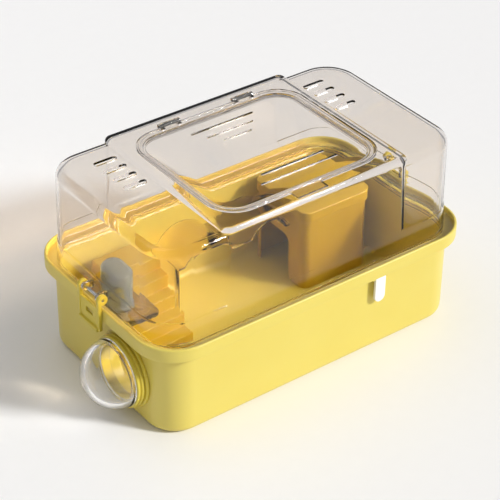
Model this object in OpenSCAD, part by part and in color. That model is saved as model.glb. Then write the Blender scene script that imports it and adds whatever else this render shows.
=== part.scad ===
/* [Tub] */
// Length over the rim
rim_l = 300; // [280:1:320]
// Width over the rim
rim_w = 184; // [176:1:200]
// Height of the rim above the floor
rim_z = 85; // [80:1:95]
// Depth of the skirt that hangs from the rim
skirt_h = 11.4; // [9:0.2:12]
// Step from the rim in to the body wall
overhang = 8; // [7:0.5:9]
// Wall of the tub
wall = 2.4; // [2:0.1:3]
// Rounding of the tub's bottom edge
bottom_round = 7; // [5:0.5:8]

/* [Cover] */
// Height of the ends of the cover
end_z = 161.8; // [156:0.2:163]
// Height of the raised middle of the cover
saddle_z = 165.8; // [164.5:0.1:168]
// Wall of the cover
cover_t = 2; // [1.6:0.1:2.4]
// Length of the raised middle at its top
saddle_l = 172; // [168:1:174]
// Height of the step that runs round above the rim
band_z = 101; // [97:0.5:104]

/* [Hatch] */
// Length of the hatch
hatch_l = 154; // [150:1:156]
// Width of the hatch
hatch_w = 131; // [126:1:132]
// Corner radius of the hatch
hatch_r = 25; // [20:1:28]
// Distance of each hinge from the middle
hinge_x = 35; // [32:0.5:40]
// Angle that the hatch opens to
hatch_open = 105; // [90:1:110]

/* [Tube port] */
// Height of the port's middle
port_z = 38.5; // [37:0.5:40]
// Distance of the port from the middle line
port_y = -32; // [-33:0.5:-30]
// Radius of the bore through the collar
port_bore_r = 23.6; // [22:0.1:24]
// Radius of the clear dome
dome_r = 27.7; // [27:0.1:28.4]

/* [Inside] */
// Height of the house
house_h = 75.4; // [70:0.2:76]
// Height of the bridge's flat feet above the floor
bridge_z = 60; // [58:0.5:61]
// Number of steps
step_n = 5; // [4:1:6]
// Height of the bottle's top
bottle_top = 103; // [98:1:106]

/* [Hidden] */
$fn = 64;
hull_fn = 32;
sliver = 0.02;

// tub
rim_r = 32;
skirt_t = 2.5;
skirt_low = rim_z - skirt_h;
body_l = rim_l - 2 * overhang;
body_w = rim_w - 2 * overhang;
body_r = rim_r - 6;
floor_t = wall;
foot_in = 1.2;
inner_x = body_l / 2 - wall;
inner_y = body_w / 2 - wall;
ledge_z = rim_z - 6;
ledge_t = wall;

// cover
flange_gap = 0.6;
flange_z = ledge_z + 0.3;
flange_t = 2;
flange_l = rim_l - 2 * skirt_t - 2 * flange_gap;
flange_w = rim_w - 2 * skirt_t - 2 * flange_gap;
plug_gap = 0.4;
plug_z = 76;
band_l = 287;
band_w = 163;
band_top_l = 285.4;
band_top_w = 161;
end_low_l = 284;
end_low_w = 159.6;
end_top_l = 282;
end_top_w = 158.6;
saddle_low_l = 180;
saddle_w = 160;
top_round = 6;
hatch_y = -2;
hatch_t = 1.6;
hatch_gap = 0.5;
hatch_seat = 4;
seat_t = 1.8;
vent_x = 100;
vent_l = 20;
vent_w = 4.4;
vent_pitch = 13.4;
vent_first = 54;
vent_n = 4;

// hatch hinges
hinge_y = hatch_y + hatch_w / 2;
hinge_z = saddle_z + 1.2;
barrel_r = 2.4;
barrel_l = 12;
lug_t = 3;
lug_x = barrel_l / 2 + 0.4;
hatch_pin_r = 1;
hatch_pin_l = 2 * (lug_x + lug_t);
run = 0.06;
tab_x = -4;
tab_w = 28;
tab_l = 8;

// end clips
clip_x = rim_l / 2 - 0.7;
clip_z = rim_z + 8;
head_r = 4.3;
arm_t = 3;
arm_y = 11.3;
arm_low = 66;
arm_in = rim_l / 2 + 0.4;
arm_out = rim_l / 2 + 3.4;
panel_top = rim_z + 0.5;
panel_t = 1.9;
clip_lug_y = 8;
clip_lug_t = 2.8;
clip_lug_r = 3.2;
clip_root = 2.2;
clip_pin_r = 1.2;
nib_y = 4;

// front catch
catch_x = 56.5;
catch_w = 10;
catch_t = 2.2;
catch_low = 48.5;
catch_y = -body_w / 2 - 3.1;
catch_z = 71.2;
catch_knuckle_r = 1.9;
catch_pin_r = 0.9;
catch_lug_t = 2.6;
catch_lug_x = catch_w / 2 + 0.3;

// tube port
wall_x = -body_l / 2;
spigot_r = port_bore_r + 2.8;
collar_face = wall_x - 9;
dome_wall = 4;
sleeve_gap = 0.08;

// bottle and its bracket
bottle_x = -123;
bottle_y = 5;
bottle_l = 19;
bottle_w = 30;
bottle_r = 8;
bottle_low = 66;
bottle_t = 1.5;
bracket_z = 69;
bracket_t = 3;
bracket_x0 = -inner_x + 0.2;
bracket_x1 = -106;
bracket_w = 62;
neck_r = 7;
neck_low = 59;
cap_r = 9.3;
cap_low = 56;
cap_top = 65.4;
spout_r = 3.2;
spout_bore = 2;
spout_low = 45;
ball_r = 1.9;

// steps, house and bridge
steps_x0 = -104;
steps_x1 = -57;
steps_y1 = 73.4;
steps_top = bridge_z + 2;
step_run = 11.9;
step_rise = (steps_top - floor_t - 0.2) / step_n;
shell_t = 2;
house_x0 = 57;
house_x1 = 125;
house_y0 = 6;
house_y1 = 73;
house_r = 8;
house_low = floor_t + 0.2;
house_top = house_low + house_h;
lip_h = 10;
lip_out = 1.6;
door_y0 = 26;
door_y1 = 64;
door_h = 43;
door_r = 7;
shelf_l = 7;
shelf_w = 16;
bridge_t = 1.6;
bridge_y0 = 22;
bridge_y1 = 62;
bridge_x0 = -56.4;
bridge_x1 = 54.6;
vault_rise = 12;
vaults = [[-48.5, -5], [16, 50]];

// Flat outline with round corners
module outline(l, w, r) {
  square([l - 2 * r, w], center = true);
  square([l, w - 2 * r], center = true);
  for (sx = [-1, 1], sy = [-1, 1])
    translate([sx * (l / 2 - r), sy * (w / 2 - r)]) circle(r);
}

// Plate with round corners, standing on z
module slab(l, w, r, z, h) {
  translate([0, 0, z]) linear_extrude(h) outline(l, w, r);
}

// Upright wall of thickness t that follows a round-cornered outline
module ring_wall(l, w, r, t, z, h) {
  difference() {
    slab(l, w, r, z, h);
    slab(l - 2 * t, w - 2 * t, r - t, z - 1, h + 2);
  }
}

// Drafted block with a rounded top edge of radius e
module dome_block(low_l, low_w, top_l, top_w, r, e, z0, z1) {
  hull() {
    slab(low_l, low_w, r, z0, sliver, $fn = hull_fn);
    for (a = [0 : 30 : 90])
      slab(top_l - 2 * e * (1 - cos(a)), top_w - 2 * e * (1 - cos(a)), r - e * (1 - cos(a)),
           z1 - e + e * sin(a) - sliver, sliver, $fn = hull_fn);
  }
}

// Closed box with round corners, its bottom edge rounded by e0 and its top edge by e1
module pill(l, w, r, e0, e1, z0, z1) {
  hull() {
    for (a = [0 : 30 : 90]) {
      slab(l - 2 * e0 * (1 - sin(a)), w - 2 * e0 * (1 - sin(a)), r - e0 * (1 - sin(a)),
           z0 + e0 * (1 - cos(a)), sliver, $fn = hull_fn);
      slab(l - 2 * e1 * (1 - sin(a)), w - 2 * e1 * (1 - sin(a)), r - e1 * (1 - sin(a)),
           z1 - e1 * (1 - cos(a)) - sliver, sliver, $fn = hull_fn);
    }
  }
}

// Rod along X, Y or Z between two values
module rod_x(r, x0, x1, y, z) {
  translate([x0, y, z]) rotate([0, 90, 0]) cylinder(r = r, h = x1 - x0);
}

module rod_y(r, x, y0, y1, z) {
  translate([x, y1, z]) rotate([90, 0, 0]) cylinder(r = r, h = y1 - y0);
}

module block(x0, x1, y0, y1, z0, z1) {
  translate([min(x0, x1), y0, z0]) cube([abs(x1 - x0), y1 - y0, z1 - z0]);
}

module catch_lugs() {
  for (s = [-1, 1])
    difference() {
      union() {
        rod_x(catch_knuckle_r, catch_x + s * (catch_lug_x + catch_lug_t / 2) - catch_lug_t / 2,
              catch_x + s * (catch_lug_x + catch_lug_t / 2) + catch_lug_t / 2, catch_y, catch_z);
        block(catch_x + s * (catch_lug_x + catch_lug_t / 2) - catch_lug_t / 2,
              catch_x + s * (catch_lug_x + catch_lug_t / 2) + catch_lug_t / 2,
              catch_y - catch_knuckle_r, -body_w / 2 + 1, catch_z, ledge_z - 1);
      }
      rod_x(catch_pin_r, catch_x - 30, catch_x + 30, catch_y, catch_z);
    }
}

module tub() {
  color("#e8d060")
  difference() {
    union() {
      slab(body_l, body_w, body_r, bottom_round / 2, ledge_z - bottom_round / 2);
      slab(body_l - 2 * foot_in, body_w - 2 * foot_in, body_r - foot_in, 0, bottom_round);
      slab(rim_l - skirt_t, rim_w - skirt_t, rim_r - skirt_t / 2, ledge_z - ledge_t, ledge_t);
      ring_wall(rim_l, rim_w, rim_r, skirt_t, skirt_low, skirt_h);
      for (s = [-1, 1])
        block(s * rim_l / 2 - 0.6, s * rim_l / 2 + 0.6, -nib_y, nib_y, 75.5, 78.5);
      catch_lugs();
    }
    slab(body_l - 2 * wall, body_w - 2 * wall, body_r - wall, bottom_round / 2 + floor_t, rim_z);
    slab(body_l - 2 * wall - 2 * foot_in, body_w - 2 * wall - 2 * foot_in, body_r - wall - foot_in,
         floor_t, bottom_round);
    rod_x(spigot_r + 0.08, wall_x - 5, wall_x + 10, port_y, port_z);
    rod_x(spigot_r + 4.4, wall_x + wall - 0.3, wall_x + 10, port_y, port_z);
  }
}

module port_collar() {
  color("#e3ca58")
  translate([0, port_y, port_z]) rotate([0, -90, 0])
    difference() {
      rotate_extrude()
        difference() {
          union() {
            translate([0, -wall_x - wall - 5]) square([spigot_r, wall + 5.5]);
            translate([0, -wall_x]) square([spigot_r + 4.6, 2.6]);
            translate([0, -wall_x]) square([spigot_r + 1.6, 9]);
            translate([spigot_r + 1.6, -wall_x + 5.2]) circle(1.6);
            translate([0, -wall_x + 7.4]) square([spigot_r + 2.6, 1.6]);
          }
          translate([-5, -wall_x - 20]) square([5 + port_bore_r, 60]);
        }
    }
}

module port_ring() {
  color("#e3ca58")
  difference() {
    rod_x(spigot_r + 3.8, -inner_x - 0.3, -inner_x + 2.6, port_y, port_z);
    rod_x(spigot_r + 0.05, -inner_x - 1, -inner_x + 4, port_y, port_z);
  }
}

module port_dome() {
  color([0.95, 0.95, 0.97, 0.5])
  translate([collar_face, port_y, port_z]) rotate([0, -90, 0])
    rotate_extrude()
      difference() {
        union() {
          intersection() {
            circle(dome_r);
            translate([0, 0.05]) square(dome_r + 1);
          }
          translate([0, -8]) square([port_bore_r - sleeve_gap, 9]);
        }
        intersection() {
          circle(dome_r - dome_wall);
          translate([0, 2]) square(dome_r);
        }
        translate([0, -10]) square([port_bore_r - sleeve_gap - 2, 13]);
        translate([-60, -60]) square([60, 120]);
      }
}

// Outer form of the cover, or of its hollow when everything is drawn in by t
module cover_form(t) {
  dome_block(band_l - 2 * t, band_w - 2 * t, band_top_l - 2 * t, band_top_w - 2 * t, 30 - t, 1.6,
             flange_z - (t > 0 ? 1 : 0), band_z - t);
  dome_block(end_low_l - 2 * t, end_low_w - 2 * t, end_top_l - 2 * t, end_top_w - 2 * t, 28 - t,
             top_round, flange_z, end_z - t);
  dome_block(saddle_low_l - 2 * t, band_top_w - 2 * t, saddle_l - 2 * t, saddle_w - 2 * t, 4,
             3.4, flange_z, saddle_z - (t > 0 ? seat_t + 2 : 0));
}

module hatch_hinge_cut() {
  for (s = [-1, 1])
    block(s * hinge_x - barrel_l / 2 - 0.4, s * hinge_x + barrel_l / 2 + 0.4,
          hinge_y - 4, hinge_y + barrel_r + 0.6, hinge_z - barrel_r - 0.6, saddle_z + 4);
}

module hatch_lugs() {
  for (s = [-1, 1], e = [-1, 1])
    union() {
      rod_x(barrel_r, s * hinge_x + e * (lug_x + lug_t / 2) - lug_t / 2,
            s * hinge_x + e * (lug_x + lug_t / 2) + lug_t / 2, hinge_y, hinge_z);
      block(s * hinge_x + e * (lug_x + lug_t / 2) - lug_t / 2,
            s * hinge_x + e * (lug_x + lug_t / 2) + lug_t / 2,
            hinge_y - barrel_r, hinge_y + barrel_r, saddle_z - 2, hinge_z);
    }
}

module clip_lugs() {
  for (s = [-1, 1], e = [-1, 1])
    union() {
      rod_y(clip_lug_r, s * clip_x, e * (clip_lug_y + clip_lug_t / 2) - clip_lug_t / 2,
            e * (clip_lug_y + clip_lug_t / 2) + clip_lug_t / 2, clip_z);
      translate([s * (clip_x + band_l / 2 - clip_root) / 2,
                 e * (clip_lug_y + clip_lug_t / 2), clip_z])
        cube([clip_x - band_l / 2 + clip_root, clip_lug_t, 2 * clip_lug_r], center = true);
    }
}

module cover() {
  color([0.72, 0.68, 0.66, 0.35])
  difference() {
    union() {
      difference() {
        union() {
          cover_form(0);
          slab(flange_l, flange_w, rim_r - skirt_t - flange_gap, flange_z, flange_t);
          slab(2 * (inner_x - plug_gap), 2 * (inner_y - plug_gap), body_r - wall - plug_gap,
               plug_z, flange_z - plug_z + 1);
        }
        cover_form(cover_t);
        slab(2 * (inner_x - plug_gap - 1.8), 2 * (inner_y - plug_gap - 1.8), body_r - wall - plug_gap - 1.8,
             plug_z - 1, flange_z - plug_z + 3.5);
        translate([0, hatch_y, 0]) {
          slab(hatch_l + 2 * hatch_gap, hatch_w + 2 * hatch_gap, hatch_r + hatch_gap,
               saddle_z - seat_t, 2 * seat_t);
          slab(hatch_l - 2 * hatch_seat, hatch_w - 2 * hatch_seat, hatch_r - hatch_seat,
               saddle_z - 12, 20);
        }
        block(tab_x - tab_w / 2 - 0.5, tab_x + tab_w / 2 + 0.5, hatch_y - hatch_w / 2 - tab_l - 0.5,
              hatch_y - hatch_w / 2 + 3, saddle_z - seat_t, saddle_z + 2);
        hatch_hinge_cut();
      }
      hatch_lugs();
      clip_lugs();
    }
    for (s = [-1, 1])
      rod_x(hatch_pin_r, s * hinge_x - 12, s * hinge_x + 12, hinge_y, hinge_z);
    for (s = [-1, 1])
      rod_y(clip_pin_r, s * clip_x, -16, 16, clip_z);
    for (s = [-1, 1], k = [0 : vent_n - 1])
      translate([s * vent_x, vent_first - k * vent_pitch, 0])
        slab(vent_l, vent_w, vent_w / 2 - 0.01, end_z - 5, 10);
  }
}

module hatch() {
  color([0.74, 0.70, 0.68, 0.35])
  difference() {
    union() {
      translate([0, hatch_y, 0]) {
        slab(hatch_l, hatch_w, hatch_r, saddle_z - seat_t + 0.1, hatch_t);
        ring_wall(hatch_l - 2 * hatch_seat - 1.4, hatch_w - 2 * hatch_seat - 1.4,
                  hatch_r - hatch_seat - 0.7, 1.6, saddle_z - seat_t - 2.6, 3);
        ring_wall(hatch_l - 3, hatch_w - 3, hatch_r - 1.5, 1.6, saddle_z - 0.6, 1);
      }
      block(tab_x - tab_w / 2, tab_x + tab_w / 2, hatch_y - hatch_w / 2 - tab_l,
            hatch_y - hatch_w / 2 + 3, saddle_z - seat_t + 0.1, saddle_z - seat_t + 0.1 + hatch_t);
      for (s = [-1, 1]) {
        rod_x(barrel_r, s * hinge_x - barrel_l / 2, s * hinge_x + barrel_l / 2, hinge_y, hinge_z);
        block(s * hinge_x - barrel_l / 2, s * hinge_x + barrel_l / 2, hinge_y - 4,
              hinge_y, saddle_z - seat_t + 0.1, saddle_z + 1);
      }
    }
    for (s = [-1, 1])
      rod_x(hatch_pin_r + run, s * hinge_x - 8, s * hinge_x + 8, hinge_y, hinge_z);
    for (s = [-1, 1], e = [-1, 1])
      block(s * hinge_x + e * (lug_x - 0.4), s * hinge_x + e * (lug_x + lug_t + 0.4),
            hinge_y - barrel_r - 0.8, hinge_y + 1, saddle_z - 3, saddle_z + 4);
    hatch_slots();
  }
}

// Two staggered groups of narrow air slots
module hatch_slots() {
  for (s = [[0, 42, 59], [0, 31.7, 44], [0, 21.5, 26], [9, -35, 59], [7.5, -45.5, 72]])
    translate([s[0], s[1], 0]) slab(s[2], 1.6, 0.79, saddle_z - 6, 12);
}

module hatch_pin(s) {
  color("#5a5550")
  rod_x(hatch_pin_r, s * hinge_x - hatch_pin_l / 2, s * hinge_x + hatch_pin_l / 2, hinge_y, hinge_z);
}

module clip(s) {
  color("#e8cf55")
  mirror([s > 0 ? 0 : 1, 0, 0])
  difference() {
    union() {
      for (e = [-1, 1]) {
        rod_y(head_r, clip_x, e * (arm_y + arm_t / 2) - arm_t / 2, e * (arm_y + arm_t / 2) + arm_t / 2, clip_z);
        block(arm_in, arm_out, e * (arm_y + arm_t / 2) - arm_t / 2,
              e * (arm_y + arm_t / 2) + arm_t / 2, arm_low, clip_z);
      }
      block(arm_out - 0.6 - panel_t, arm_out - 0.6, -arm_y - 1, arm_y + 1, arm_low, panel_top);
      block(arm_out - 1.2, arm_out + 1.4, -arm_y - 1, arm_y + 1, arm_low - 1, arm_low + 2);
    }
    block(arm_in - 2, arm_out + 2, -nib_y - 0.6, nib_y + 0.6, 74.9, 79.1);
    rod_y(clip_pin_r + run, clip_x, -20, 20, clip_z);
  }
}

module clip_pin(s) {
  color("#b9bcc0")
  rod_y(clip_pin_r, s * clip_x, -arm_y - arm_t, arm_y + arm_t, clip_z);
}

module catch() {
  color("#f2f2ef")
  difference() {
    union() {
      rod_x(catch_knuckle_r, catch_x - catch_w / 2, catch_x + catch_w / 2, catch_y, catch_z);
      block(catch_x - catch_w / 2, catch_x + catch_w / 2, catch_y - catch_knuckle_r,
            catch_y - catch_knuckle_r + catch_t, catch_low + catch_w / 2, catch_z);
      translate([catch_x, catch_y - catch_knuckle_r + catch_t, catch_low + catch_w / 2])
        rotate([90, 0, 0]) cylinder(r = catch_w / 2, h = catch_t);
    }
    rod_x(catch_pin_r + run, catch_x - 20, catch_x + 20, catch_y, catch_z);
  }
}

module catch_pin() {
  color("#b9bcc0")
  rod_x(catch_pin_r, catch_x - catch_lug_x - catch_lug_t, catch_x + catch_lug_x + catch_lug_t,
        catch_y, catch_z);
}

module bottle_bracket() {
  color([0.55, 0.50, 0.45, 0.5])
  difference() {
    union() {
      translate([(bracket_x0 + bracket_x1) / 2, bottle_y, 0])
        slab(bracket_x1 - bracket_x0, bracket_w, 5, bracket_z, bracket_t);
      block(bracket_x0, bracket_x0 + 1.8, bottle_y - bracket_w / 2 + 5, bottle_y + bracket_w / 2 - 5,
            bracket_z, 75.6);
    }
    translate([bottle_x, bottle_y, 0])
      slab(bottle_l + 0.8, bottle_w + 0.8, bottle_r + 0.4, bracket_z - 1, bracket_t + 2);
  }
}

module bottle_body() {
  color([0.80, 0.82, 0.84, 0.5])
  translate([bottle_x, bottle_y, 0])
    difference() {
      union() {
        pill(bottle_l, bottle_w, bottle_r, 2, 4, bottle_low, bottle_top);
        slab(bottle_l + 2.4, bottle_w + 2.4, bottle_r + 1.2, bracket_z + bracket_t + 0.1, 1.6);
        translate([0, 0, neck_low]) cylinder(r = neck_r, h = bottle_low - neck_low + 1);
      }
      pill(bottle_l - 2 * bottle_t, bottle_w - 2 * bottle_t, bottle_r - bottle_t, 1, 3,
           bottle_low + bottle_t, bottle_top - bottle_t);
      translate([0, 0, neck_low - 1]) cylinder(r = neck_r - 1.6, h = 12);
    }
}

module bottle_cap() {
  color("#d9dadb")
  translate([bottle_x, bottle_y, cap_low])
    difference() {
      cylinder(r = cap_r, h = cap_top - cap_low);
      translate([0, 0, 1.4]) cylinder(r = neck_r + 0.05, h = 20);
      translate([0, 0, -1]) cylinder(r = spout_r + 0.02, h = 4);
    }
}

module cap_seal() {
  color("#6b6e70")
  translate([bottle_x, bottle_y, cap_low + 1.4])
    difference() {
      cylinder(r = neck_r - 0.1, h = neck_low - cap_low - 1.4);
      translate([0, 0, -1]) cylinder(r = spout_r + 0.02, h = 6);
    }
}

module spout_tube() {
  color("#c9ccd0")
  translate([bottle_x, bottle_y, spout_low])
    difference() {
      cylinder(r = spout_r, h = 16);
      translate([0, 0, 0.7]) cylinder(r = spout_bore, h = 20);
      translate([0, 0, -1]) cylinder(r = spout_bore - 0.6, h = 4);
    }
}

module spout_ball() {
  color("#9da1a6")
  translate([bottle_x, bottle_y, spout_low + 0.9 + ball_r]) sphere(ball_r);
}

// Points of the stair outline in Y and Z, drawn in by t
function stair(t) = concat(
  [[t, house_low]],
  [for (k = [0 : step_n - 1], q = [0, 1])
     [k * step_run + (q == 0 ? t : step_run + t), house_low + (k + 1) * step_rise - t]],
  [[steps_y1 - t, steps_top - t], [steps_y1 - t, house_low]]
);

module stair_block(t, x0, x1, drop) {
  translate([x0, 0, -drop]) rotate([90, 0, 90]) linear_extrude(x1 - x0) polygon(stair(t));
}

module steps() {
  color("#dcbf3a")
  difference() {
    stair_block(0, steps_x0, steps_x1, 0);
    stair_block(shell_t, steps_x0 + shell_t, steps_x1 - shell_t, 0);
    block(steps_x0 + shell_t, steps_x1 - shell_t, shell_t, steps_y1 - shell_t, 0, house_low + 3);
  }
}

module house_form(t, z0, z1) {
  translate([(house_x0 + house_x1) / 2, (house_y0 + house_y1) / 2, 0])
    slab(house_x1 - house_x0 - 2 * t, house_y1 - house_y0 - 2 * t, house_r - t, z0, z1 - z0);
}

module house() {
  color("#dcc046")
  difference() {
    union() {
      house_form(0, house_low, house_top);
      house_form(-lip_out, house_top - lip_h, house_top);
      block(house_x0 - shelf_l, house_x0 + 1, (bridge_y0 + bridge_y1 - shelf_w) / 2,
            (bridge_y0 + bridge_y1 + shelf_w) / 2, bridge_z - 3.4, bridge_z - 0.1);
    }
    house_form(shell_t, house_low - 1, house_top - shell_t);
    translate([house_x0 - 1, (door_y0 + door_y1) / 2, 0]) rotate([90, 0, 90])
      linear_extrude(shell_t + 2) {
        translate([0, house_low + door_h / 2 - 2 * door_r])
          square([door_y1 - door_y0, door_h], center = true);
        translate([0, house_low + door_h - 2 * door_r]) outline(door_y1 - door_y0, 4 * door_r, door_r);
      }
  }
}

// Half ring that spans one vault
module vault_arch(a, b) {
  half = (b - a) / 2;
  r = (half * half + vault_rise * vault_rise) / (2 * vault_rise);
  intersection() {
    translate([(a + b) / 2, bridge_z + vault_rise - r])
      difference() {
        circle(r + bridge_t);
        circle(r);
      }
    translate([a - bridge_t, bridge_z]) square([b - a + 2 * bridge_t, vault_rise + 4]);
  }
}

module bridge() {
  color([0.82, 0.80, 0.78, 0.35])
  translate([0, bridge_y1, 0]) rotate([90, 0, 0])
    linear_extrude(bridge_y1 - bridge_y0) {
      vault_arch(vaults[0][0], vaults[0][1]);
      vault_arch(vaults[1][0], vaults[1][1]);
      translate([bridge_x0, bridge_z]) square([vaults[0][0] - bridge_x0, bridge_t]);
      translate([vaults[0][1], bridge_z]) square([vaults[1][0] - vaults[0][1], bridge_t]);
      translate([vaults[1][1], bridge_z]) square([bridge_x1 - vaults[1][1], bridge_t]);
      translate([bridge_x0, house_low]) square([bridge_t, bridge_z - house_low + bridge_t]);
    }
}

tub();
port_collar();
port_ring();
port_dome();
cover();
hatch();
hatch_pin(-1);  // hatch_pin_left
hatch_pin(1);  // hatch_pin_right
clip(-1);  // clip_left
clip(1);  // clip_right
clip_pin(-1);  // clip_pin_left
clip_pin(1);  // clip_pin_right
catch();
catch_pin();
bottle_bracket();
bottle_body();
bottle_cap();
cap_seal();
spout_tube();
spout_ball();
steps();
house();
bridge();
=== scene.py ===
import math

import bpy
import bmesh
import numpy as np
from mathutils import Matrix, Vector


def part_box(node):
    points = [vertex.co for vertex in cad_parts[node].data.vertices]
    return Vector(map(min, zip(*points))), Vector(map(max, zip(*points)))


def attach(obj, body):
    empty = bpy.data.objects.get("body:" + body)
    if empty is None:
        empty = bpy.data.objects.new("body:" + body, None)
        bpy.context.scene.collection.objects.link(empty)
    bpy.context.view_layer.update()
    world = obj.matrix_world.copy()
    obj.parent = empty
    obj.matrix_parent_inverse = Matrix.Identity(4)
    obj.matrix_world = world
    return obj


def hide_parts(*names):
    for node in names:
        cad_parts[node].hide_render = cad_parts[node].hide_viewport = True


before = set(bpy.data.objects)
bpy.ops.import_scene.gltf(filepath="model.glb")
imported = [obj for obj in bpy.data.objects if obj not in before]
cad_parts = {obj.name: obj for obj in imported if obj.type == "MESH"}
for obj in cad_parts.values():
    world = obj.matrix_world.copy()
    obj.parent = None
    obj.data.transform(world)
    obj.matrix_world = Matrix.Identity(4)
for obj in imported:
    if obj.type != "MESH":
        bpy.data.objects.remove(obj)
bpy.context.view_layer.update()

# ---------------------------------------------------------------------------------------------------------------
# Tub: a deep tray injection moulded in yellow polypropylene, in one piece with its skirted rim and the lugs of the
# front catch. A ledge runs round inside the rim, and a round hole low in the end wall takes the tube port.
MM = 0.001


def span(node):
    """Lowest and highest corner of a CAD node, in millimetres."""
    return tuple(np.array(corner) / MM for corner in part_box(node))


def rounded_profile(points, radii, steps=5):
    """Profile whose corners are arcs: each corner gives way to the circle of its radius that touches both sides.
    The arc is swept from one touching point to the other by spherical interpolation about the circle's centre."""
    path = np.array(points, float)
    parts = [path[:1]]
    for before, corner, after, radius in zip(path[:-2], path[1:-1], path[2:], radii[1:-1]):
        if radius == 0:
            parts.append(corner[None])
            continue
        back = (before - corner) / np.linalg.norm(before - corner)
        ahead = (after - corner) / np.linalg.norm(after - corner)
        half = math.acos(float(np.clip(back @ ahead, -1, 1))) / 2
        centre = corner + (back + ahead) / np.linalg.norm(back + ahead) * radius / math.sin(half)
        start = corner + back * radius / math.tan(half) - centre
        end = corner + ahead * radius / math.tan(half) - centre
        sweep = math.pi - 2 * half
        share = np.linspace(0, 1, steps + 1)[:, None]
        parts.append(centre + (np.sin((1 - share) * sweep) * start + np.sin(share * sweep) * end) / math.sin(sweep))
    parts.append(path[-1:])
    return np.vstack(parts)


def lofted(length, width, radius, height, centre=(0, 0), caps=True, steps=12):
    """Shell through a stack of rounded rectangles: the ring at each height is the corner centres of its rectangle
    plus its radius times the outward normal, which turns once round. All four sizes may be arrays, one per ring."""
    length, width, radius, height = np.broadcast_arrays(length, width, radius, height)
    turn = (np.arange(4)[:, None] * np.pi / 2 + np.linspace(0, np.pi / 2, steps + 1)).ravel()
    normal = np.stack([np.cos(turn), np.sin(turn)], 1)
    side = np.repeat([[1, 1], [-1, 1], [-1, -1], [1, -1]], steps + 1, axis=0)
    reach = np.stack([length / 2 - radius, width / 2 - radius], 1)
    flat = side * reach[:, None, :] + radius[:, None, None] * normal + np.array(centre)
    around = len(turn)
    points = np.concatenate([flat, np.repeat(height[:, None, None], around, axis=1)], 2).reshape(-1, 3)
    row, column = np.meshgrid(np.arange(len(height) - 1), np.arange(around), indexing="ij")
    after = (column + 1) % around
    quads = np.stack([row * around + column, row * around + after,
                      (row + 1) * around + after, (row + 1) * around + column], 2).reshape(-1, 4).tolist()
    if caps:
        quads.append(list(range(around))[::-1])
        quads.append(list(range(len(points) - around, len(points))))
    return points, quads


def swept(profile, length, width, radius, centre=(0, 0), caps=True, steps=12):
    """Shell of a profile carried round a rounded rectangle: a point's first value is how far it stands out from the
    rectangle, and its second is its height."""
    out = profile[:, 0]
    return lofted(length + 2 * out, width + 2 * out, radius + out, profile[:, 1], centre, caps, steps)


STAND = {"z": np.eye(3), "x": np.array([[0, 0, 1], [0, 1, 0], [-1, 0, 0]]),
         "-x": np.array([[0, 0, -1], [0, 1, 0], [1, 0, 0]]), "y": np.array([[1, 0, 0], [0, 0, 1], [0, -1, 0]])}


def turned(profile, centre, axis="z", closed=False, steps=64):
    """Surface of revolution: a profile of radius and distance along the axis, turned once about it. A closed
    profile joins its last point to its first."""
    radius, along = np.asarray(profile, float).T
    turn = np.linspace(0, 2 * np.pi, steps, endpoint=False)
    ring = np.stack([np.cos(turn), np.sin(turn), np.zeros(steps)], 1)
    points = (radius[:, None, None] * ring + along[:, None, None] * np.array([0, 0, 1])).reshape(-1, 3)
    rows = len(radius) if closed else len(radius) - 1
    row, column = np.meshgrid(np.arange(rows), np.arange(steps), indexing="ij")
    below, above, after = row * steps, (row + 1) % len(radius) * steps, (column + 1) % steps
    quads = np.stack([below + column, below + after, above + after, above + column], 2).reshape(-1, 4)
    return points @ STAND[axis].T + np.array(centre), quads.tolist()


def box_shell(low, high, edge=0.4):
    """Block with rounded upright edges and eased top and bottom edges, between two corners."""
    low, high = np.minimum(low, high), np.maximum(low, high)
    rise = np.array([low[2], low[2] + edge, high[2] - edge, high[2]])
    inset = np.array([edge, 0, 0, edge]) * 0.6
    size = high - low
    return lofted(size[0] - 2 * inset, size[1] - 2 * inset, edge * 1.2 - inset, rise,
                  (low[:2] + high[:2]) / 2, steps=3)


def peg(radius, half, centre, axis, steps=28):
    """Plain cylinder about its centre, from its radius and half its length."""
    return turned([(0, -half), (radius, -half), (radius, half), (0, half)], centre, axis, steps=steps)


def new_mesh(name, shells):
    """Mesh object made of one or more shells given in millimetres, with its doubled points at poles merged."""
    points = np.vstack([shell[0] for shell in shells]) * MM
    starts = np.cumsum([0] + [len(shell[0]) for shell in shells])
    faces = [[corner + start for corner in face] for start, shell in zip(starts, shells) for face in shell[1]]
    mesh = bpy.data.meshes.new(name)
    mesh.from_pydata(points, [], faces)
    tidy = bmesh.new()
    tidy.from_mesh(mesh)
    bmesh.ops.remove_doubles(tidy, verts=tidy.verts, dist=2e-6)
    bmesh.ops.dissolve_degenerate(tidy, edges=tidy.edges, dist=1e-7)
    tidy.to_mesh(mesh)
    tidy.free()
    made = bpy.data.objects.new(name, mesh)
    bpy.context.scene.collection.objects.link(made)
    return made


def applied(made):
    """The object with its modifiers made part of its mesh."""
    shape = bpy.data.meshes.new_from_object(made.evaluated_get(bpy.context.evaluated_depsgraph_get()))
    made.modifiers.clear()
    made.data = shape
    return made


def combined(made, shells, how):
    """The object with each shell joined to it, or cut out of it, by an exact boolean."""
    for shell in shells:
        tool = new_mesh("tool", [shell])
        step = made.modifiers.new("step", "BOOLEAN")
        step.operation = how
        step.solver = "EXACT"
        step.object = tool
        applied(made)
        bpy.data.objects.remove(tool)
    return made


def placed(made, material, body, nodes, crease=34):
    """Gives a piece its material and smooth shading, and says which body it rides on and what it stands for."""
    made.data.materials.clear()
    made.data.materials.append(material)
    made.data.shade_smooth()
    made.data.set_sharp_from_angle(angle=math.radians(crease))
    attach(made, body)
    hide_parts(*nodes)
    return made


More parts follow.
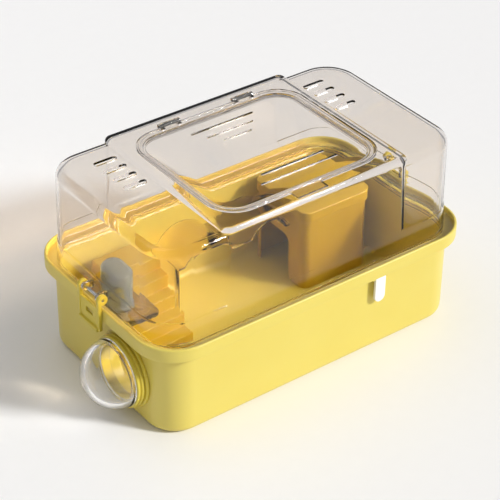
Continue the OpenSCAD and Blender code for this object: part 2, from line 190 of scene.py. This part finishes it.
def linear(hex_colour):
    """Linear RGBA of an sRGB hex colour."""
    part = np.array([int(hex_colour[i:i + 2], 16) for i in (1, 3, 5)]) / 255
    part = np.where(part <= 0.04045, part / 12.92, ((part + 0.055) / 1.055) ** 2.4)
    return (*part.tolist(), 1.0)


def add_node(material, kind, settings=None, links=None):
    """Adds one shader node, sets its sockets or settings by name, and links its sockets."""
    made = material.node_tree.nodes.new(kind)
    for key, value in (settings or {}).items():
        if isinstance(key, int) or key in made.inputs:
            made.inputs[key].default_value = value
        else:
            setattr(made, key, value)
    for key, socket in (links or {}).items():
        material.node_tree.links.new(socket, made.inputs[key])
    return made


def empty_material(name):
    """A material with no nodes in it yet."""
    material = bpy.data.materials.new(name)
    material.use_nodes = True
    material.node_tree.nodes.clear()
    return material


def moulded_polypropylene(name, colour, deep, roughness, glow):
    """Moulded polypropylene: a soft satin gloss with faint flow marks 60 mm long, a spark-eroded grain of 0.5 mm,
    and light that enters and spreads a few millimetres, so that shaded sides stay warm."""
    material = empty_material(name)
    where = add_node(material, "ShaderNodeTexCoord")
    flow = add_node(material, "ShaderNodeTexNoise", {"Scale": 1 / (60 * MM), "Detail": 3.0, "Roughness": 0.5},
                    {"Vector": where.outputs["Object"]})
    tone = add_node(material, "ShaderNodeMix", {"data_type": "RGBA", 6: linear(colour), 7: linear(deep)},
                    {0: flow.outputs["Fac"]})
    gloss = add_node(material, "ShaderNodeMapRange",
                     {"From Min": 0.3, "From Max": 0.7, "To Min": roughness - 0.05, "To Max": roughness + 0.06},
                     {"Value": flow.outputs["Fac"]})
    grain = add_node(material, "ShaderNodeTexNoise", {"Scale": 1 / (0.5 * MM), "Detail": 2.0},
                     {"Vector": where.outputs["Object"]})
    bump = add_node(material, "ShaderNodeBump", {"Strength": 0.12, "Distance": 0.03 * MM},
                    {"Height": grain.outputs["Fac"]})
    shader = add_node(material, "ShaderNodeBsdfPrincipled",
                      {"IOR": 1.49, "Subsurface Weight": glow, "Subsurface Radius": (1.0, 0.7, 0.15),
                       "Subsurface Scale": 3 * MM},
                      {"Base Color": tone.outputs[2], "Roughness": gloss.outputs["Result"],
                       "Normal": bump.outputs["Normal"]})
    add_node(material, "ShaderNodeOutputMaterial", links={"Surface": shader.outputs["BSDF"]})
    return material


tub_yellow = moulded_polypropylene("yellow_polypropylene_moulded", "#e0cf67", "#dbc75b", 0.36, 0.10)

tub_low, tub_high = span("tub")
nib_out = 0.6
rim_l = 2 * (tub_high[0] - nib_out)
rim_w = 2 * tub_high[1]
rim_z = tub_high[2]
overhang = 8.0
skirt_t = 2.5
skirt_h = 11.4
ledge_drop = 6.0
tub_wall = 2.4
rim_r = 32.0
body_l, body_w, body_r = rim_l - 2 * overhang, rim_w - 2 * overhang, rim_r - 6
ledge_z = rim_z - ledge_drop
bottom_r = 7.0
tub_profile = rounded_profile(
    [(-12, 0), (0, 0), (0, ledge_z - tub_wall), (overhang - skirt_t, ledge_z - tub_wall),
     (overhang - skirt_t, rim_z - skirt_h), (overhang, rim_z - skirt_h), (overhang, rim_z),
     (overhang - skirt_t, rim_z), (overhang - skirt_t, ledge_z), (-tub_wall, ledge_z), (-tub_wall, tub_wall),
     (-12, tub_wall)],
    [0, bottom_r, 1.2, 0.8, 0.7, 1.0, 1.2, 1.2, 0.8, 0.9, 4.6, 0])
tub = new_mesh("tub_moulding", [swept(tub_profile, body_l, body_w, body_r)])
port_low, port_high = span("port_dome")
port_y = (port_low[1] + port_high[1]) / 2
port_z = (port_low[2] + port_high[2]) / 2
spigot_r = 26.4
wall_x = -body_l / 2
combined(tub, [turned([(0, -6), (spigot_r, -6), (spigot_r, 12), (0, 12)], (wall_x, port_y, port_z), "x")],
         "DIFFERENCE")
catch_low, catch_high = span("catch")
catch_x = (catch_low[0] + catch_high[0]) / 2
lug_r = 1.9
lug_half = 1.3
lug_apart = 6.6
lug_z = catch_high[2] - lug_r
lug_y = catch_low[1] + lug_r
lugs = []
for side in (-1, 1):
    lug_x = catch_x + side * lug_apart
    lugs.append(box_shell((lug_x - lug_half, lug_y - lug_r, lug_z),
                          (lug_x + lug_half, -body_w / 2 + 1, ledge_z - 1)))
    lugs.append(peg(lug_r, lug_half, (lug_x, lug_y, lug_z), "x", steps=24))
nib_half = 4
nib_low, nib_top = 75.5, 78.5
for side in (-1, 1):
    lugs.append(box_shell((side * (rim_l / 2 - 1), -nib_half, nib_low),
                          (side * (rim_l / 2 + nib_out), nib_half, nib_top), 0.3))
combined(tub, lugs, "UNION")
placed(tub, tub_yellow, "tub", ["tub"])

# ---------------------------------------------------------------------------------------------------------------
# Port collar: a turned-looking ring pushed through the end wall from outside, in the same yellow polypropylene,
# with a flange against the wall, a ridge and a front lip. A plain ring holds it from inside.
bore_r = 23.6
collar_profile = rounded_profile(
    [(bore_r, -8), (spigot_r - 0.05, -8), (spigot_r - 0.05, 0), (spigot_r + 4.6, 0), (spigot_r + 4.6, 2.6),
     (spigot_r + 1.6, 2.6), (spigot_r + 1.6, 3.8), (spigot_r + 3.1, 3.8), (spigot_r + 3.1, 5.6),
     (spigot_r + 1.6, 5.6), (spigot_r + 1.6, 7.0), (spigot_r + 2.6, 7.0), (spigot_r + 2.6, 9), (bore_r, 9),
     (bore_r, 5)],
    [0, 0.4, 0.1, 0.8, 0.9, 0.3, 0.3, 0.7, 0.7, 0.3, 0.3, 0.6, 0.8, 0.7, 0], steps=4)
collar_yellow = moulded_polypropylene("yellow_polypropylene_polished_mould", "#dcc94c", "#d6c140", 0.28, 0.10)
collar = new_mesh("port_collar_moulding",
                  [turned(collar_profile, (wall_x, port_y, port_z), "-x", closed=True, steps=96)])
placed(collar, collar_yellow, "tub", ["port_collar"])

ring_low, ring_high = span("port_ring")
ring_r = (ring_high[1] - ring_low[1]) / 2
ring_t = ring_high[0] - ring_low[0]
ring_profile = rounded_profile(
    [(spigot_r + 0.05, ring_t / 2), (spigot_r + 0.05, 0), (ring_r, 0), (ring_r, ring_t),
     (spigot_r + 0.05, ring_t), (spigot_r + 0.05, ring_t / 2 + 0.1)], [0, 0.2, 0.6, 0.8, 0.5, 0], steps=4)
ring = new_mesh("port_ring_moulding",
                [turned(ring_profile, (ring_low[0], port_y, port_z), "x", closed=True, steps=96)])
placed(ring, collar_yellow, "tub", ["port_ring"])


# ---------------------------------------------------------------------------------------------------------------
# Port dome: a clear polycarbonate cap with a hemispherical end, blown or moulded thick, whose sleeve slides into
# the collar. It closes the port until a tube is fitted.
def clear_plastic(name, tint, roughness, ior, smoke, density, clear=1.0, shade=None):
    """Clear moulded plastic: a polished skin that bends light, with faint hazy handling marks 15 mm across in its
    gloss. The tint is what one surface passes, and the smoke takes more on long paths, so rims look darker.
    Below 1, clear is the share of light that isn't scattered white. Lamps shine through unbent, in the colour of
    the shade, or of the tint if there is none."""
    material = empty_material(name)
    where = add_node(material, "ShaderNodeTexCoord")
    haze = add_node(material, "ShaderNodeTexNoise", {"Scale": 1 / (15 * MM), "Detail": 4.0},
                    {"Vector": where.outputs["Object"]})
    gloss = add_node(material, "ShaderNodeMapRange",
                     {"From Min": 0.45, "From Max": 0.75, "To Min": roughness, "To Max": roughness + 0.03},
                     {"Value": haze.outputs["Fac"]})
    skin = add_node(material, "ShaderNodeBsdfPrincipled",
                    {"Base Color": linear(tint), "Transmission Weight": clear, "IOR": ior},
                    {"Roughness": gloss.outputs["Result"]})
    open_way = add_node(material, "ShaderNodeBsdfTransparent", {"Color": linear(shade or tint)})
    path = add_node(material, "ShaderNodeLightPath")
    surface = add_node(material, "ShaderNodeMixShader", None,
                       {0: path.outputs["Is Shadow Ray"], 1: skin.outputs["BSDF"], 2: open_way.outputs["BSDF"]})
    ends = {"Surface": surface.outputs["Shader"]}
    if density:
        body = add_node(material, "ShaderNodeVolumeAbsorption", {"Color": linear(smoke), "Density": density})
        ends["Volume"] = body.outputs["Volume"]
    add_node(material, "ShaderNodeOutputMaterial", links=ends)
    return material


dome_clear = clear_plastic("clear_polycarbonate_polished", "#ffffff", 0.01, 1.58, "#ffffff", 0)
dome_r = (port_high[1] - port_low[1]) / 2
dome_wall = 4.0
sleeve_r = bore_r - 0.08
dome_x = port_low[0] + dome_r
outside = np.linspace(0, math.pi / 2, 25)[:, None]
hollow_r = dome_r - dome_wall
mouth = math.asin(2 / hollow_r)
inside = np.linspace(math.pi / 2, mouth, 25)[:, None]
sleeve_in = sleeve_r - 2
dome_profile = np.vstack([
    [(sleeve_in, -8 + 0.4), (sleeve_in + 0.4, -8), (sleeve_r - 0.4, -8), (sleeve_r, -8 + 0.4), (sleeve_r, 0.05),
     (dome_r - 0.3, 0.05)],
    dome_r * np.hstack([np.cos(outside), np.sin(outside)])[1:],
    hollow_r * np.hstack([np.cos(inside), np.sin(inside)]),
    [(sleeve_in, 2), (sleeve_in, -7.6)]])
dome = new_mesh("port_dome_moulding", [turned(dome_profile, (dome_x, port_y, port_z), "-x", steps=96)])
placed(dome, dome_clear, "port_dome", ["port_dome"])

# ---------------------------------------------------------------------------------------------------------------
# Cover: one thin shell injection moulded in smoke-tinted clear styrene. A low band stands on the tub's ledge, the
# ends rise from it with a large round edge, and a saddle stands proud in the middle with a seat for the hatch.
smoke_clear = clear_plastic("smoked_styrene_polished", "#f8f5f2", 0.01, 1.36, "#a98468", 6, shade="#e6ddd0")


def drafted_block(low, top, radius, edge, z0, z1):
    """Block with drafted walls and a top edge rolled to a quarter circle. Low and top are its length and width at
    its foot and at its crown; the ring of the roll at angle a is drawn in by edge times (1 - cos a)."""
    roll = np.linspace(0, math.pi / 2, 9)
    inset = np.concatenate([[0], edge * (1 - np.cos(roll))])
    height = np.concatenate([[z0], z1 - edge + edge * np.sin(roll)])
    length = np.concatenate([[low[0]], np.full(9, top[0])]) - 2 * inset
    width = np.concatenate([[low[1]], np.full(9, top[1])]) - 2 * inset
    return lofted(length, width, radius - inset, height)


cover_low = span("cover")[0]
cover_t = 2.0
pin_low, pin_high = span("hatch_pin_left")
hinge_z = (pin_low[2] + pin_high[2]) / 2
saddle_z = hinge_z - 1.2
end_z = 161.8
band_z = 101.0
flange_z = cover_low[2] + 3.3
seat_t = 1.8
hatch_low, hatch_high = span("hatch")
hatch_l = hatch_high[0] - hatch_low[0]
hatch_w = 131.0
hatch_r = 25.0
hatch_y = -2.0
flange_l, flange_w = rim_l - 2 * skirt_t - 1.2, rim_w - 2 * skirt_t - 1.2
plug_l, plug_w, plug_r = body_l - 2 * tub_wall - 0.8, body_w - 2 * tub_wall - 0.8, body_r - tub_wall - 0.4
plug_t = 1.8
flange_r = 28.9
band_foot, band_crown, band_r = (287, 163), (285.4, 161), 30
ends_foot, ends_crown, ends_r = (284, 159.6), (282, 158.6), 28
saddle_foot, saddle_crown, saddle_r = (180, 161), (172, 160), 6


def cover_blocks(t, floor, saddle_drop):
    """Band, ends and saddle of the cover, all drawn in by t, from just above floor."""
    shrink = np.array([2 * t, 2 * t])
    return [drafted_block(band_foot - shrink, band_crown - shrink, band_r - t, 1.6, floor, band_z - t),
            drafted_block(ends_foot - shrink, ends_crown - shrink, ends_r - t, 6, floor + 0.13, end_z - t),
            drafted_block(saddle_foot - shrink, saddle_crown - shrink, saddle_r - 0.5 * t, 3.4, floor + 0.27,
                          saddle_z - saddle_drop)]


cover = new_mesh("cover_moulding", [swept(
    rounded_profile([(-20, flange_z), (0, flange_z), (0, flange_z + 2), (-20, flange_z + 2)],
                    [0, 0.5, 0.7, 0], steps=3), flange_l, flange_w, flange_r)])
combined(cover, [lofted(plug_l, plug_w, plug_r, [cover_low[2], flange_z + 1])], "UNION")
combined(cover, cover_blocks(0, flange_z + 0.6, 0), "UNION")
combined(cover, cover_blocks(cover_t, flange_z - 1, seat_t + 2), "DIFFERENCE")
hinge_y = hatch_y + hatch_w / 2
hinge_x = 35.0
knuckle_r = 2.4
middle = (0, hatch_y)
combined(cover, [
    lofted(plug_l - 2 * plug_t, plug_w - 2 * plug_t, plug_r - plug_t, [cover_low[2] - 1, flange_z + 2.5]),
    lofted(hatch_l + 1, hatch_w + 1, hatch_r + 0.5, [saddle_z - seat_t, saddle_z + 2], middle),
    lofted(hatch_l - 8, hatch_w - 8, hatch_r - 4, [saddle_z - 12, saddle_z + 3], middle)], "DIFFERENCE")
tab_x, tab_w, tab_l = -4.0, 28.0, 8.0
tab_back = hatch_y - hatch_w / 2
cuts = [box_shell((tab_x - tab_w / 2 - 0.5, tab_back - tab_l - 0.5, saddle_z - seat_t),
                  (tab_x + tab_w / 2 + 0.5, tab_back + 3, saddle_z + 2), 0.2)]
for side in (-1, 1):
    cuts.append(box_shell((side * hinge_x - 6.4, hinge_y - 4, hinge_z - 3),
                          (side * hinge_x + 6.4, hinge_y + 3, saddle_z + 4), 0.2))
for side in (-1, 1):
    for k in range(4):
        cuts.append(lofted(20, 4.4, 2.15, [end_z - 5, end_z + 5], (side * 100, 54 - 13.4 * k), steps=8))
combined(cover, cuts, "DIFFERENCE")
posts = []
post_apart = 7.9
post_half = 1.5
for side in (-1, 1):
    for end in (-1, 1):
        post_x = side * hinge_x + end * post_apart
        posts.append(box_shell((post_x - post_half, hinge_y - knuckle_r, saddle_z - 2),
                               (post_x + post_half, hinge_y + knuckle_r, hinge_z), 0.2))
        posts.append(peg(knuckle_r, post_half, (post_x, hinge_y, hinge_z), "x"))
clip_z = span("clip_right")[1][2] - 4.3
clip_x = rim_l / 2 - 0.7
clip_lug_root = 140.9
clip_lug_apart = 9.4
clip_lug_r = 3.2
clip_lug_half = 1.4
for side in (-1, 1):
    for end in (-1, 1):
        lug_mid = end * clip_lug_apart
        posts.append(peg(clip_lug_r, clip_lug_half, (side * clip_x, lug_mid, clip_z), "y"))
        posts.append(box_shell((side * clip_lug_root, lug_mid - clip_lug_half, clip_z - clip_lug_r),
                               (side * clip_x, lug_mid + clip_lug_half, clip_z + clip_lug_r), 0.2))
combined(cover, posts, "UNION")
placed(cover, smoke_clear, "cover", ["cover"])

# ---------------------------------------------------------------------------------------------------------------
# Hatch: a flat lid of the same smoked styrene with a raised bead near its edge, a skirt below that guides it into
# its seat, a finger tab in front, two hinge barrels behind and two staggered groups of air slots.
plate_z = saddle_z - seat_t + 0.1
plate_top = plate_z + 1.6
hatch_profile = rounded_profile(
    [(-14, plate_z), (-6.3, plate_z), (-6.3, plate_z - 2.7), (-4.7, plate_z - 2.7), (-4.7, plate_z), (0, plate_z),
     (0, plate_top), (-1.5, plate_top), (-1.5, plate_top + 0.5), (-3.1, plate_top + 0.5), (-3.1, plate_top),
     (-14, plate_top)],
    [0, 0.3, 0.3, 0.5, 0.3, 0.4, 0.6, 0.2, 0.25, 0.25, 0.2, 0], steps=3)
hatch = new_mesh("hatch_moulding", [swept(hatch_profile, hatch_l, hatch_w, hatch_r, middle)])
# Each air slot is the x and y of its middle and its length.
slots = [(0, 42, 59), (0, 31.7, 44), (0, 21.5, 26), (9, -35, 59), (7.5, -45.5, 72)]
cuts = [lofted(long, 1.6, 0.78, [plate_z - 1, plate_top + 2], (x, y), steps=6) for x, y, long in slots]
for side in (-1, 1):
    for end in (-1, 1):
        notch_x = side * hinge_x + end * post_apart
        cuts.append(box_shell((notch_x - 1.9, hinge_y - knuckle_r - 0.8, plate_z - 3),
                              (notch_x + 1.9, hinge_y + 1, plate_top + 3), 0.1))
combined(hatch, cuts, "DIFFERENCE")
extras = [box_shell((tab_x - tab_w / 2, tab_back - tab_l, plate_z), (tab_x + tab_w / 2, tab_back + 3, plate_top),
                    0.5)]
barrel_half = 6
barrel_profile = rounded_profile(
    [(0, -barrel_half), (knuckle_r, -barrel_half), (knuckle_r, barrel_half), (0, barrel_half)],
    [0, 0.4, 0.4, 0], steps=2)
for side in (-1, 1):
    extras.append(box_shell((side * hinge_x - barrel_half, hinge_y - 4, plate_z),
                            (side * hinge_x + barrel_half, hinge_y, hinge_z), 0.3))
    extras.append(turned(barrel_profile, (side * hinge_x, hinge_y, hinge_z), "x", steps=28))
combined(hatch, extras, "UNION")
placed(hatch, smoke_clear, "hatch", ["hatch"])


# ---------------------------------------------------------------------------------------------------------------
# Bridge: a strip of clear smoked styrene, 40 mm wide, bent into two round vaults, with a leg down to the floor at
# the steps and a foot on the house's shelf. It is moulded with eased edges.
def moulded_copy(name, node, edge, segments=2):
    """A CAD node's solid with its loose triangles merged, its flat faces joined up, and its edges eased by edge."""
    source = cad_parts[node].data
    made = bpy.data.objects.new(name, source.copy())
    bpy.context.scene.collection.objects.link(made)
    tidy = bmesh.new()
    tidy.from_mesh(made.data)
    bmesh.ops.remove_doubles(tidy, verts=tidy.verts, dist=1e-6)
    bmesh.ops.dissolve_limit(tidy, angle_limit=math.radians(0.6), verts=tidy.verts, edges=tidy.edges)
    tidy.to_mesh(made.data)
    tidy.free()
    for layer in list(made.data.attributes):
        if layer.name in ("custom_normal", "sharp_edge", "sharp_face"):
            made.data.attributes.remove(layer)
    ease = made.modifiers.new("ease", "BEVEL")
    ease.width = edge * MM
    ease.segments = segments
    ease.limit_method = "ANGLE"
    ease.angle_limit = math.radians(40)
    ease.use_clamp_overlap = True
    return applied(made)


bridge_clear = clear_plastic("smoked_styrene_thin_strip", "#f4ecdc", 0.01, 1.22, "#b08a66", 6)
placed(moulded_copy("bridge_moulding", "bridge", 0.35), bridge_clear, "bridge", ["bridge"])

# ---------------------------------------------------------------------------------------------------------------
# House: an open-bottomed box of the tub's yellow polypropylene with a heavy lip round its roof, a round-topped
# doorway and a shelf for the bridge. The steps are a hollow staircase of the same plastic that leads up to the
# bridge.
# Painted shade: the house and the steps take a darker, deeper golden copy of the tub's yellow for the shade inside
# the tub.
shaded_inner_yellow = moulded_polypropylene("yellow_polypropylene_painted_shade", "#c8a620", "#bc9a1b", 0.34, 0.12)
placed(moulded_copy("house_moulding", "house", 0.8, 3), shaded_inner_yellow, "house", ["house"])
placed(moulded_copy("steps_moulding", "steps", 0.7, 3), shaded_inner_yellow, "steps", ["steps"])

# ---------------------------------------------------------------------------------------------------------------
# Water bottle: a small flat flask of frosted low-density polyethylene that hangs neck down in a bracket, with a
# ribbed screw cap, a rubber seal, and a drawn steel spout closed by a steel ball.
frosted = clear_plastic("frosted_polyethylene_blown", "#cdd6d8", 0.12, 1.45, "#c4ccd2", 0, 0.8)
bottle_low, bottle_high = span("bottle_body")
bottle_c = tuple((bottle_low[:2] + bottle_high[:2]) / 2)
bottle_l = bottle_high[0] - bottle_low[0] - 2.4
bottle_w = bottle_high[1] - bottle_low[1] - 2.4
bottle_z0 = bottle_low[2] + 7.0
collar_z = 72.1
bottle_r = 9.45
body_profile = rounded_profile(
    [(-9.4, bottle_z0), (0, bottle_z0), (0, collar_z), (1.2, collar_z), (1.2, collar_z + 1.6), (0, collar_z + 1.6),
     (0, bottle_high[2]), (-9.4, bottle_high[2])], [0, 1.8, 0.2, 0.5, 0.5, 0.2, 3.6, 0])
core_profile = rounded_profile(
    [(-9.3, bottle_z0 + 1.5), (-1.5, bottle_z0 + 1.5), (-1.5, bottle_high[2] - 1.5),
     (-9.3, bottle_high[2] - 1.5)], [0, 1.2, 2.6, 0])
neck_r = 7.0
bottle = new_mesh("bottle_moulding", [swept(body_profile, bottle_l, bottle_w, bottle_r, bottle_c)])
combined(bottle, [turned([(0, bottle_low[2]), (neck_r, bottle_low[2]), (neck_r, bottle_z0 + 1),
                          (0, bottle_z0 + 1)], (*bottle_c, 0), steps=48)], "UNION")
combined(bottle, [swept(core_profile, bottle_l, bottle_w, bottle_r, bottle_c),
                  turned([(0, bottle_low[2] - 1), (neck_r - 1.6, bottle_low[2] - 1), (neck_r - 1.6, bottle_z0 + 3),
                          (0, bottle_z0 + 3)], (*bottle_c, 0), steps=48)], "DIFFERENCE")
placed(bottle, frosted, "bottle", ["bottle_body"])


def plain_moulding(name, colour, deep, roughness, grain, metal=0.0):
    """Opaque moulded or drawn stuff: its colour drifts a little over 12 mm, with a fine grain of the given size
    that roughens its gloss."""
    material = empty_material(name)
    where = add_node(material, "ShaderNodeTexCoord")
    drift = add_node(material, "ShaderNodeTexNoise", {"Scale": 1 / (12 * MM), "Detail": 2.0},
                     {"Vector": where.outputs["Object"]})
    tone = add_node(material, "ShaderNodeMix", {"data_type": "RGBA", 6: linear(colour), 7: linear(deep)},
                    {0: drift.outputs["Fac"]})
    fine = add_node(material, "ShaderNodeTexNoise", {"Scale": 1 / (grain * MM), "Detail": 2.0},
                    {"Vector": where.outputs["Object"]})
    gloss = add_node(material, "ShaderNodeMapRange", {"To Min": roughness - 0.05, "To Max": roughness + 0.08},
                     {"Value": fine.outputs["Fac"]})
    bump = add_node(material, "ShaderNodeBump", {"Strength": 0.1, "Distance": 0.02 * MM},
                    {"Height": fine.outputs["Fac"]})
    shader = add_node(material, "ShaderNodeBsdfPrincipled", {"Metallic": metal},
                      {"Base Color": tone.outputs[2], "Roughness": gloss.outputs["Result"],
                       "Normal": bump.outputs["Normal"]})
    add_node(material, "ShaderNodeOutputMaterial", links={"Surface": shader.outputs["BSDF"]})
    return material


cap_white = plain_moulding("grey_white_polypropylene_cap", "#dfe0df", "#d4d5d4", 0.4, 0.5)
steel = plain_moulding("stainless_steel_drawn", "#c9cbcd", "#bfc1c4", 0.22, 0.4, metal=1.0)
rubber = plain_moulding("grey_rubber_moulded", "#55585a", "#4c4f51", 0.6, 0.3)
cap_low, cap_high = span("bottle_cap")
cap_r = (cap_high[0] - cap_low[0]) / 2
cap_profile = rounded_profile(
    [(3.25, cap_low[2] + 0.7), (3.25, cap_low[2]), (cap_r, cap_low[2]), (cap_r, cap_high[2]),
     (neck_r + 0.1, cap_high[2]), (neck_r + 0.1, cap_low[2] + 1.4), (3.25, cap_low[2] + 1.4)],
    [0, 0.2, 0.9, 0.6, 0.3, 0, 0], steps=4)
cap_points, cap_faces = turned(cap_profile, (0, 0, 0), closed=True, steps=144)
cap_turn = np.arctan2(cap_points[:, 1], cap_points[:, 0])
cap_far = np.hypot(cap_points[:, 0], cap_points[:, 1])
rib = np.where(cap_far > cap_r - 0.9, 1 - 0.02 * (1 + np.cos(24 * cap_turn)), 1.0)
cap_points[:, :2] *= rib[:, None]
cap_points[:, :2] += bottle_c
placed(new_mesh("bottle_cap_moulding", [(cap_points, cap_faces)]), cap_white, "bottle", ["bottle_cap"])
placed(moulded_copy("cap_seal_ring", "cap_seal", 0.1), rubber, "bottle", ["cap_seal"])
placed(moulded_copy("spout_tube_drawn", "spout_tube", 0.15), steel, "bottle", ["spout_tube"])
ball_low, ball_high = span("spout_ball")
ball_r = (ball_high[0] - ball_low[0]) / 2
ball_turn = np.linspace(-math.pi / 2, math.pi / 2, 25)
ball_profile = ball_r * np.stack([np.cos(ball_turn), np.sin(ball_turn)], 1)
placed(new_mesh("spout_ball_ground", [turned(ball_profile, tuple((ball_low + ball_high) / 2), steps=40)]), steel,
       "spout_ball", ["spout_ball"])

# ---------------------------------------------------------------------------------------------------------------
# Bottle bracket: a shelf of dark smoked styrene across the port end, with a hole that the flask hangs in. It stays
# in the tub when the flask is lifted out.
bracket_smoke = clear_plastic("smoked_styrene_dark_shelf", "#cfc6b8", 0.02, 1.5, "#8d7a63", 10)
placed(moulded_copy("bottle_bracket_moulding", "bottle_bracket", 0.4), bracket_smoke, "tub",
       ["bottle_bracket"])

# ---------------------------------------------------------------------------------------------------------------
# End clips: two yellow polypropylene snap clips that hang on lugs of the cover, each with two round-headed arms
# and a thin panel whose window clicks over a nib on the tub's skirt. They turn on steel pins.
for side in ("left", "right"):
    placed(moulded_copy(f"clip_{side}_moulding", f"clip_{side}", 0.35), collar_yellow, f"clip_{side}",
           [f"clip_{side}"])
    placed(moulded_copy(f"clip_pin_{side}_drawn", f"clip_pin_{side}", 0.15), steel, "cover",
           [f"clip_pin_{side}"])
    placed(moulded_copy(f"hatch_pin_{side}_drawn", f"hatch_pin_{side}", 0.15), rubber, "cover",
           [f"hatch_pin_{side}"])

# ---------------------------------------------------------------------------------------------------------------
# Front catch: a small white acetal tongue with a round end that hangs on a pin under the rim and presses on the
# front wall.
catch_white = plain_moulding("white_acetal_moulded", "#f4f4f1", "#ecece8", 0.3, 0.5)
placed(moulded_copy("catch_moulding", "catch", 0.5, 3), catch_white, "catch", ["catch"])
placed(moulded_copy("catch_pin_drawn", "catch_pin", 0.1), steel, "tub", ["catch_pin"])

# ---------------------------------------------------------------------------------------------------------------
# Studio: a wide pale floor, a soft key light from the front right, a softbox above, and an even pale surround.
floor_white = plain_moulding("studio_floor_matt_paint", "#f7f6f4", "#f5f4f2", 0.8, 1.0)
floor = new_mesh("studio_floor", [(np.array([(-3, -3, 0), (3, -3, 0), (3, 3, 0), (-3, 3, 0)]) / MM
                                   - np.array([0, 0, 0.05]), [[0, 1, 2, 3]])])
floor.data.materials.append(floor_white)


def aim(thing, place, target, roll=0.0):
    """Puts a camera or lamp at place, looking at target, turned by roll about its own line of sight."""
    look = np.array(target) - np.array(place)
    look = look / np.linalg.norm(look)
    right = np.cross(look, (0, 0, 1))
    right = right / np.linalg.norm(right)
    up = np.cross(right, look)
    across = math.cos(roll) * right + math.sin(roll) * up
    top = -math.sin(roll) * right + math.cos(roll) * up
    turn = np.eye(4)
    turn[:3, 0], turn[:3, 1], turn[:3, 2], turn[:3, 3] = across, top, -look, place
    thing.matrix_world = turn.T.tolist()


def studio_lamp(name, kind, place, target, size, power):
    """Lamp at place, aimed at a point. Size is a sun's angle in degrees, or a softbox's side in metres."""
    lamp = bpy.data.lights.new(name, kind)
    if kind == "SUN":
        lamp.angle = math.radians(size)
    else:
        lamp.size = size
    lamp.energy = power
    thing = bpy.data.objects.new(name, lamp)
    bpy.context.scene.collection.objects.link(thing)
    aim(thing, place, target)
    return thing


studio_lamp("key_light", "SUN", (1.29, -1.68, 1.4), (0, 0, 0.06), 9, 3.1)
studio_lamp("top_softbox", "AREA", (-0.4, 0.7, 1.9), (0, 0, 0.1), 1.4, 5)
world = bpy.data.worlds.new("studio_surround")
bpy.context.scene.world = world
world.use_nodes = True
world.node_tree.nodes["Background"].inputs["Color"].default_value = linear("#fbfbff")
world.node_tree.nodes["Background"].inputs["Strength"].default_value = 0.38
bpy.context.scene.view_settings.view_transform = "Standard"

# ---------------------------------------------------------------------------------------------------------------
# Camera: a long lens above the front left corner, level but for a slight turn about its own axis.
azimuth = math.radians(-37.38)
elevation = math.radians(34.7)
stand_off = 1.465
roll = math.radians(0.83)
target = np.array((0.02113, 0.03178, 0.04351))
back = np.array((math.sin(azimuth) * math.cos(elevation), -math.cos(azimuth) * math.cos(elevation),
                 math.sin(elevation)))
lens = bpy.data.cameras.new("studio_camera")
lens.sensor_width = 36
lens.lens = 129.66
camera = bpy.data.objects.new("studio_camera", lens)
bpy.context.scene.collection.objects.link(camera)
aim(camera, target + stand_off * back, target, roll)
bpy.context.scene.camera = camera
